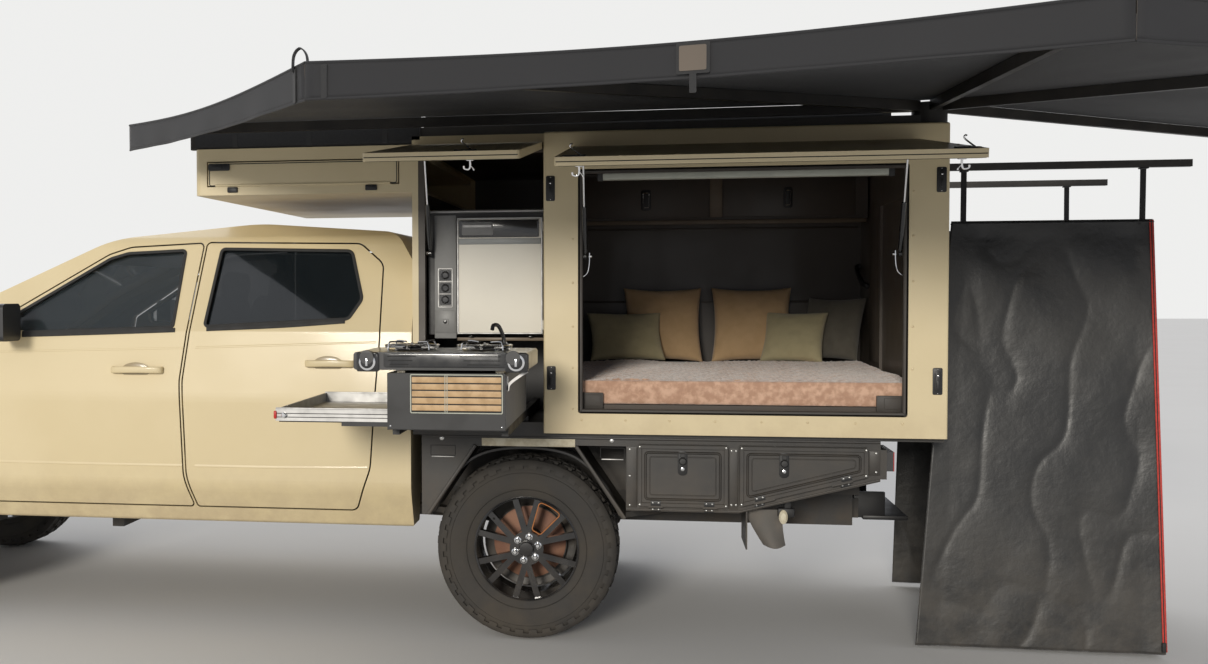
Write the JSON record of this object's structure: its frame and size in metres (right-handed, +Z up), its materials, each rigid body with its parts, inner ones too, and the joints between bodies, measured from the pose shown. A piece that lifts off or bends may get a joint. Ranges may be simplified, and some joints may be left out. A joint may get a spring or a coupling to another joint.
{
  "type": "truck camper",
  "caption": "Double-cab pickup with a flat tray, side toolboxes and a camper body, its side hatch, pull-out kitchen, fan awning and shower cubicle set out.",
  "frame": {"origin": "centre of the overall box on the ground plane, under the tyres", "axes": "+X points rearward along the vehicle, +Y to the vehicle's right-hand side, +Z up"},
  "size_m": [8.0748, 4.3647, 2.306],
  "materials": {
    "aluminium": "satin",
    "awning_cloth": "matte",
    "black_frame": "satin",
    "black_plastic": "matte",
    "cab_trim": "matte",
    "camper_skin": "satin",
    "curtain_cloth": "satin",
    "forged_steel": "rough",
    "fridge_front": "satin",
    "lamp_lens": "gloss",
    "lining": "matte",
    "plush": "matte",
    "rim_black": "gloss",
    "sand_paint": "satin",
    "seat_cloth": "matte",
    "strut_black": "gloss",
    "strut_chrome": "polished",
    "tyre_rubber": "matte",
    "window": "gloss"
  },
  "bodies": {
    "vehicle": {"awning_fabric": "awning_cloth", "cab_shell": "sand_paint", "camper_floor": "lining", "camper_roof": "camper_skin", "chassis_frame": "black_frame", "cushions": "plush", "dashboard": "cab_trim", "door_rear_left": "sand_paint", "fenders": "sand_paint", "fixed_glass": "window", "front_bumper": "black_plastic", "front_suspension": "black_frame", "front_walls": "camper_skin", "furniture": "lining", "hob": "black_frame", "kitchen_box": "black_frame", "lamps": "lamp_lens", "left_wall": "camper_skin", "luton": "camper_skin", "powertrain": "forged_steel", "rear_axle": "black_frame", "rear_wall": "camper_skin", "right_wall": "camper_skin", "roof_bars": "black_frame", "seats": "seat_cloth", "shower_curtain": "curtain_cloth", "toolboxes": "black_frame", "tray_frame": "black_frame", "wheel_houses": "black_frame"},
    "knuckle_left": {"knuckle_left": "forged_steel"},
    "front_wheel_left": {"tyre_front_left": "tyre_rubber", "rim_front_left": "rim_black"},
    "rear_wheel_left": {"tyre_rear_left": "tyre_rubber", "rim_rear_left": "rim_black"},
    "knuckle_right": {"knuckle_right": "forged_steel"},
    "front_wheel_right": {"tyre_front_right": "tyre_rubber", "rim_front_right": "rim_black"},
    "rear_wheel_right": {"tyre_rear_right": "tyre_rubber", "rim_rear_right": "rim_black"},
    "front_door_left": {"door_front_left": "sand_paint", "glass_front_left": "window"},
    "front_door_right": {"door_front_right": "sand_paint", "glass_front_right": "window"},
    "rear_door_right": {"door_rear_right": "sand_paint", "glass_rear_right": "window"},
    "hood": {"hood": "sand_paint"},
    "main_hatch": {"main_hatch": "camper_skin"},
    "kitchen_hatch": {"kitchen_hatch": "camper_skin"},
    "main_strut_tube": {"strut_tubes": "strut_black"},
    "main_strut_rod": {"strut_rods": "strut_chrome"},
    "kitchen_strut_tube": {"kitchen_strut_tube": "strut_black"},
    "kitchen_strut_rod": {"kitchen_strut_rod": "strut_chrome"},
    "nose_hatch": {"luton_hatch": "camper_skin"},
    "camper_rear_door": {"rear_door": "camper_skin"},
    "fridge_door": {"fridge_door": "fridge_front"},
    "side_tray": {"side_tray": "aluminium"},
    "toolbox_door_front_left": {"box_door_front_left": "black_frame"},
    "toolbox_door_rear_left": {"box_door_rear_left": "black_frame"},
    "toolbox_door_front_right": {"box_door_front_right": "black_frame"},
    "toolbox_door_rear_right": {"box_door_rear_right": "black_frame"}
  },
  "joints": [
    {"name": "steer_left", "type": "hinge", "parent": "vehicle", "child": "knuckle_left", "pos_m": [-3.142, 0.422, 0.4], "axis": [0, 0, 1], "range_deg": [-33, 33]},
    {"name": "front_wheel_left_spin", "type": "hinge", "parent": "knuckle_left", "child": "front_wheel_left", "pos_m": [-3.142, 0.297, 0.4], "axis": [0, 1, 0], "continuous": true},
    {"name": "rear_wheel_left_spin", "type": "hinge", "parent": "vehicle", "child": "rear_wheel_left", "pos_m": [0.128, 0.297, 0.4], "axis": [0, 1, 0], "continuous": true},
    {"name": "steer_right", "type": "hinge", "parent": "vehicle", "child": "knuckle_right", "pos_m": [-3.142, 1.732, 0.4], "axis": [0, 0, 1], "range_deg": [-33, 33]},
    {"name": "front_wheel_right_spin", "type": "hinge", "parent": "knuckle_right", "child": "front_wheel_right", "pos_m": [-3.142, 1.857, 0.4], "axis": [0, 1, 0], "continuous": true},
    {"name": "rear_wheel_right_spin", "type": "hinge", "parent": "vehicle", "child": "rear_wheel_right", "pos_m": [0.128, 1.857, 0.4], "axis": [0, 1, 0], "continuous": true},
    {"name": "front_door_left_hinge", "type": "hinge", "parent": "vehicle", "child": "front_door_left", "pos_m": [-2.442, 0.149, 0.9], "axis": [0, 0, -1], "range_deg": [0, 65]},
    {"name": "front_door_right_hinge", "type": "hinge", "parent": "vehicle", "child": "front_door_right", "pos_m": [-2.442, 2.005, 0.9], "axis": [0, 0, 1], "range_deg": [0, 65]},
    {"name": "rear_door_right_hinge", "type": "hinge", "parent": "vehicle", "child": "rear_door_right", "pos_m": [-1.43, 2.005, 0.9], "axis": [0, 0, 1], "range_deg": [0, 65]},
    {"name": "hood_hinge", "type": "hinge", "parent": "vehicle", "child": "hood", "pos_m": [-2.884, 1.077, 1.188], "axis": [0, 1, 0], "range_deg": [0, 55]},
    {"name": "main_hatch_hinge", "type": "hinge", "parent": "vehicle", "child": "main_hatch", "pos_m": [0.128, 0.062, 2.1], "axis": [1, 0, 0], "range_deg": [0, 82]},
    {"name": "kitchen_hatch_hinge", "type": "hinge", "parent": "vehicle", "child": "kitchen_hatch", "pos_m": [0.128, 0.122, 2.13], "axis": [1, 0, 0], "range_deg": [0, 38]},
    {"name": "main_strut_tube_pivot", "type": "hinge", "parent": "vehicle", "child": "main_strut_tube", "pos_m": [0.128, 0.102, 1.67], "axis": [1, 0, 0], "range_deg": [-15.98, 0]},
    {"name": "main_strut_rod_slide", "type": "slide", "parent": "main_strut_tube", "child": "main_strut_rod", "axis": [0, -0.3519, 0.936], "range_m": [-0.1095, 0]},
    {"name": "kitchen_strut_tube_pivot", "type": "hinge", "parent": "vehicle", "child": "kitchen_strut_tube", "pos_m": [0.128, 0.152, 1.69], "axis": [1, 0, 0], "range_deg": [-4.62, 0]},
    {"name": "kitchen_strut_rod_slide", "type": "slide", "parent": "kitchen_strut_tube", "child": "kitchen_strut_rod", "axis": [0, -0.3229, 0.9464], "range_m": [-0.0716, 0]},
    {"name": "nose_hatch_hinge", "type": "hinge", "parent": "vehicle", "child": "nose_hatch", "pos_m": [-1.347, 0.127, 1.998], "axis": [1, 0, 0], "range_deg": [0, 90]},
    {"name": "camper_rear_door_hinge", "type": "hinge", "parent": "vehicle", "child": "camper_rear_door", "pos_m": [1.843, 1.371, 1.5], "axis": [0, 0, 1], "range_deg": [0, 85]},
    {"name": "fridge_door_hinge", "type": "hinge", "parent": "vehicle", "child": "fridge_door", "pos_m": [0.202, 0.162, 1.6], "axis": [0, 0, -1], "range_deg": [-90, 0]},
    {"name": "side_tray_slide", "type": "slide", "parent": "vehicle", "child": "side_tray", "axis": [1, 0, 0], "range_m": [0, 0.419]},
    {"name": "toolbox_door_front_left_hinge", "type": "hinge", "parent": "vehicle", "child": "toolbox_door_front_left", "pos_m": [0.606, 0.127, 0.606], "axis": [1, 0, 0], "range_deg": [0, 90]},
    {"name": "toolbox_door_rear_left_hinge", "type": "hinge", "parent": "vehicle", "child": "toolbox_door_rear_left", "pos_m": [1.028, 0.127, 0.612], "axis": [0.9675, 0, 0.253], "range_deg": [0, 90]},
    {"name": "toolbox_door_front_right_hinge", "type": "hinge", "parent": "vehicle", "child": "toolbox_door_front_right", "pos_m": [0.606, 2.027, 0.606], "axis": [-1, 0, 0], "range_deg": [0, 90]},
    {"name": "toolbox_door_rear_right_hinge", "type": "hinge", "parent": "vehicle", "child": "toolbox_door_rear_right", "pos_m": [1.028, 2.027, 0.612], "axis": [-0.9675, 0, -0.253], "range_deg": [0, 90]}
  ],
  "couplings": [
    {"joint": "steer_right", "follows": "steer_left", "ratio": 1},
    {"joint": "main_strut_tube_pivot", "follows": "main_hatch_hinge", "ratio": -0.1888},
    {"joint": "main_strut_rod_slide", "follows": "main_hatch_hinge", "m_per_rad": -0.07514},
    {"joint": "kitchen_strut_tube_pivot", "follows": "kitchen_hatch_hinge", "ratio": -0.1083},
    {"joint": "kitchen_strut_rod_slide", "follows": "kitchen_hatch_hinge", "m_per_rad": -0.10501}
  ]
}
